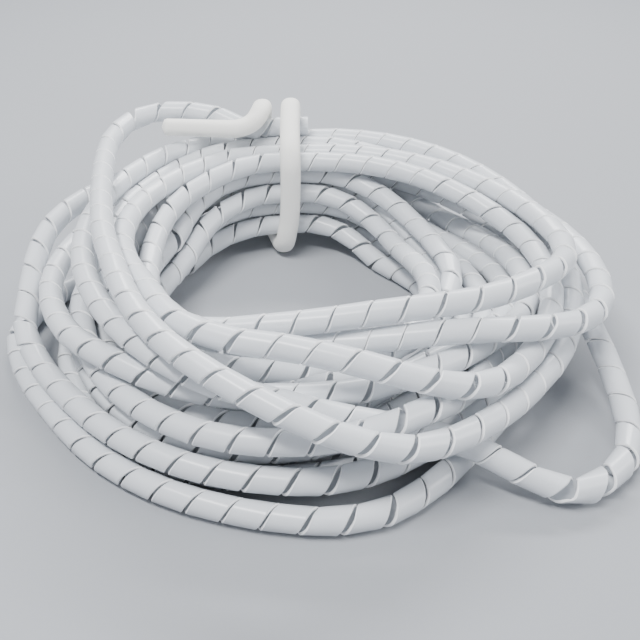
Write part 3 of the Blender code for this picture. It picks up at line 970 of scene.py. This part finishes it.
@dataclass
class Tie:
    """The soft tie: once round the bundle, its upper end over the top and its tail along the top.

    Each point of the route is the arc along the ring, the distance across from the bundle's
    centre line and the height, in tube diameters.
    """

    route: CoilRoute
    width: float = 0.0102
    thickness: float = 0.0088
    bundle_height: float = 3.3
    sides: int = 28
    finer: int = 7
    blunt: float = 0.0028
    roundness: float = 0.9
    name: str = "tie_cord"
    places: tuple = (
        (0.62, 2.3, 5.95), (0.62, 1.93, 6.6), (0.6, 1.5, 6.97), (0.58, 1.04, 7.08), (0.56, 0.6, 7.02),
        (0.54, 0, 6.85), (0.5, -0.7, 6.63), (0.48, -1.4, 6.37), (0.46, -1.97, 6.13),
        (0.45, -2.36, 5.84), (0.44, -2.59, 5.41), (0.43, -2.63, 4.8), (0.4, -2.63, 3.9),
        (0.35, -2.63, 3), (0.25, -2.63, 2.2), (0.1, -2.63, 1.6), (-0.02, -2.55, 1.09),
        (-0.12, -2.27, 0.71), (-0.2, -1.86, 0.525), (-0.28, -1.4, 0.485), (-0.4, -0.6, 0.485),
        (-0.5, 0.2, 0.485), (-0.56, 1, 0.485), (-0.6, 1.45, 0.485), (-0.62, 1.87, 0.54),
        (-0.62, 2.25, 0.73), (-0.62, 2.52, 1.1), (-0.62, 2.6, 1.6), (-0.62, 2.6, 2.4),
        (-0.62, 2.6, 3.2), (-0.62, 2.6, 4), (-0.62, 2.6, 4.7), (-0.62, 2.6, 5.14), (-0.62, 2.5, 5.6),
        (-0.64, 2.25, 6.05), (-0.66, 1.96, 6.58), (-0.7, 1.52, 6.96), (-0.78, 1.05, 7.08),
        (-0.95, 0.6, 7.02), (-1.25, 0.25, 6.8), (-1.7, 0.1, 6.6), (-2.3, 0.12, 6.5), (-3, 0.5, 6.48),
        (-3.8, 0.95, 6.52), (-4.6, 1.4, 6.6), (-5.35, 1.85, 6.7),
    )

    def in_frame(self, along: float, across: float, up: float) -> np.ndarray:
        """A point of the route in the frame, in metres."""
        radius = self.route.ring_radius + across
        angle = math.radians(self.route.tie_azimuth) - along / self.route.ring_radius
        flat = np.array([radius * math.cos(angle), radius * math.sin(angle), up])
        return flat * self.route.diameter_metres + np.array([*self.route.ring_centre_metres, 0.0])

    def build(self) -> bpy.types.Object:
        """Sweep the tie's oval section along its route."""
        line = smooth_line(np.array([self.in_frame(*p) for p in self.places]), self.finer)
        arcs = smooth_line(np.array(self.places), self.finer)[:, 0]
        inner = np.array([self.in_frame(arc, 0.0, self.bundle_height) for arc in arcs])
        tangent = np.gradient(line, axis=0)
        tangent /= np.linalg.norm(tangent, axis=1)[:, None]
        outward = line - inner
        outward -= (outward * tangent).sum(1)[:, None] * tangent
        outward /= np.linalg.norm(outward, axis=1)[:, None]
        side = np.cross(tangent, outward)

        run = np.concatenate([[0.0], np.cumsum(np.linalg.norm(np.diff(line, axis=0), axis=1))])
        left = run[-1] - run
        ended = np.clip(np.minimum(run, left) / self.blunt, 0.0, 1.0)
        closing = np.sqrt(1.0 - (1.0 - ended) ** 2)
        angle = np.linspace(0.0, 2.0 * math.pi, self.sides, endpoint=False)
        flat = np.sign(np.cos(angle)) * np.abs(np.cos(angle)) ** self.roundness
        tall = np.sign(np.sin(angle)) * np.abs(np.sin(angle)) ** self.roundness
        wide = (self.width / 2 * closing)[:, None] * flat[None, :]
        high = (self.thickness / 2 * closing)[:, None] * tall[None, :]
        rings = line[:, None, :] + wide[..., None] * side[:, None, :] + high[..., None] * outward[:, None, :]
        tie = self.closed_sweep(rings)
        tie.data.materials.append(SoftTiePlastic().material())
        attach(tie, Body.TIE.value)
        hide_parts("tie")
        report(tie)
        return tie

    def closed_sweep(self, rings: np.ndarray) -> bpy.types.Object:
        """A closed mesh through rings of points. The first and the last ring shrink to a point."""
        count, sides = rings.shape[:2]
        inside = rings[1:-1].reshape(-1, 3)
        ends = np.array([rings[0].mean(0), rings[-1].mean(0)])
        points = np.vstack([inside, ends])
        start, end = len(inside), len(inside) + 1
        faces: list[tuple[int, ...]] = []
        for ring in range(count - 3):
            for k in range(sides):
                a, b = ring * sides + k, ring * sides + (k + 1) % sides
                faces.append((a, a + sides, b + sides, b))
        last = (count - 3) * sides
        for k in range(sides):
            after = (k + 1) % sides
            faces.append((start, k, after))
            faces.append((end, last + after, last + k))
        mesh = bpy.data.meshes.new(self.name)
        mesh.from_pydata(points.tolist(), [], faces)
        mesh.shade_smooth()
        made = bpy.data.objects.new(self.name, mesh)
        bpy.context.scene.collection.objects.link(made)
        return made


@dataclass
class Studio:
    """Camera, floor and soft lights."""

    eye: Point = (0.00786, -0.31533, 0.2268)
    target: Point = (0.00786, -0.01623, 0.025)
    lens: float = 46.4
    target_rise: float = 12 / 640
    floor_half: float = 4.0
    floor_gap: float = 0.0001
    sensor_width: float = 36.0
    nearest_seen: float = 0.01
    surround: Colour = (0.93, 0.95, 1.0)
    surround_strength: float = 0.66
    lit_point: Point = (0.0, 0.0, 0.03)

    def build(self) -> None:
        """Set up the whole studio."""
        self.add_camera()
        self.add_floor()
        self.add_lights()

    def add_camera(self) -> None:
        """The camera looks down at the ring from the front."""
        data = bpy.data.cameras.new("camera")
        data.lens = self.lens
        data.sensor_width = self.sensor_width
        data.shift_y = -self.target_rise
        data.clip_start = self.nearest_seen
        camera = bpy.data.objects.new("camera", data)
        camera.location = self.eye
        way = Vector(self.target) - Vector(self.eye)
        camera.rotation_euler = way.to_track_quat("-Z", "Y").to_euler()
        bpy.context.scene.collection.objects.link(camera)
        bpy.context.scene.camera = camera

    def add_floor(self) -> None:
        """A wide flat sheet just under the coil."""
        half = self.floor_half
        mesh = bpy.data.meshes.new("floor")
        corners = [(-half, -half, 0.0), (half, -half, 0.0), (half, half, 0.0), (-half, half, 0.0)]
        mesh.from_pydata(corners, [], [(0, 1, 2, 3)])
        mesh.materials.append(FloorPaper().material())
        floor = bpy.data.objects.new("floor", mesh)
        floor.location.z = CAD_BOX[0].z - self.floor_gap
        bpy.context.scene.collection.objects.link(floor)

    def add_lights(self) -> None:
        """Large soft panels, and an even pale surround."""
        self.add_panel("key_panel", (-0.30, -0.30, 1.00), (0.60, 0.10), 15.0)
        self.add_panel("back_panel", (0.10, 0.80, 0.80), (1.00, 0.12), 16.0)
        self.add_panel("side_panel", (0.95, -0.2, 0.6), (0.5, 0.4), 5.0)
        world = bpy.data.worlds.new("surround")
        world.use_nodes = True
        sky = world.node_tree.nodes["Background"]
        sky.inputs["Color"].default_value = (*self.surround, 1.0)
        sky.inputs["Strength"].default_value = self.surround_strength
        bpy.context.scene.world = world

    def add_panel(self, name: str, place: Point, size: tuple[float, float], power: float) -> None:
        """One rectangular light that faces the ring."""
        data = bpy.data.lights.new(name, "AREA")
        data.shape = "RECTANGLE"
        data.size, data.size_y = size
        data.energy = power
        light = bpy.data.objects.new(name, data)
        light.location = place
        way = Vector(self.lit_point) - Vector(place)
        light.rotation_euler = way.to_track_quat("-Z", "Y").to_euler()
        bpy.context.scene.collection.objects.link(light)


def plain_mesh(source: bpy.types.Object, name: str) -> bpy.types.Object:
    """The evaluated shape of an object as a plain mesh object. The source is removed."""
    bpy.context.view_layer.update()
    evaluated = source.evaluated_get(bpy.context.evaluated_depsgraph_get())
    mesh = bpy.data.meshes.new_from_object(evaluated)
    mesh.name = name
    made = bpy.data.objects.new(name, mesh)
    bpy.context.scene.collection.objects.link(made)
    bpy.data.objects.remove(source)
    return made


def report(piece: bpy.types.Object) -> None:
    """Log a finished piece."""
    LOG.info("%s: %d faces", piece.name, len(piece.data.polygons))


def main() -> None:
    """Build the studio, the tube and the tie."""
    logging.basicConfig(level=logging.INFO, format="%(name)s %(message)s")
    Studio().build()
    route = CoilRoute()
    SpiralTube(route).build()
    Tie(route).build()


if __name__ == "__main__":
    main()
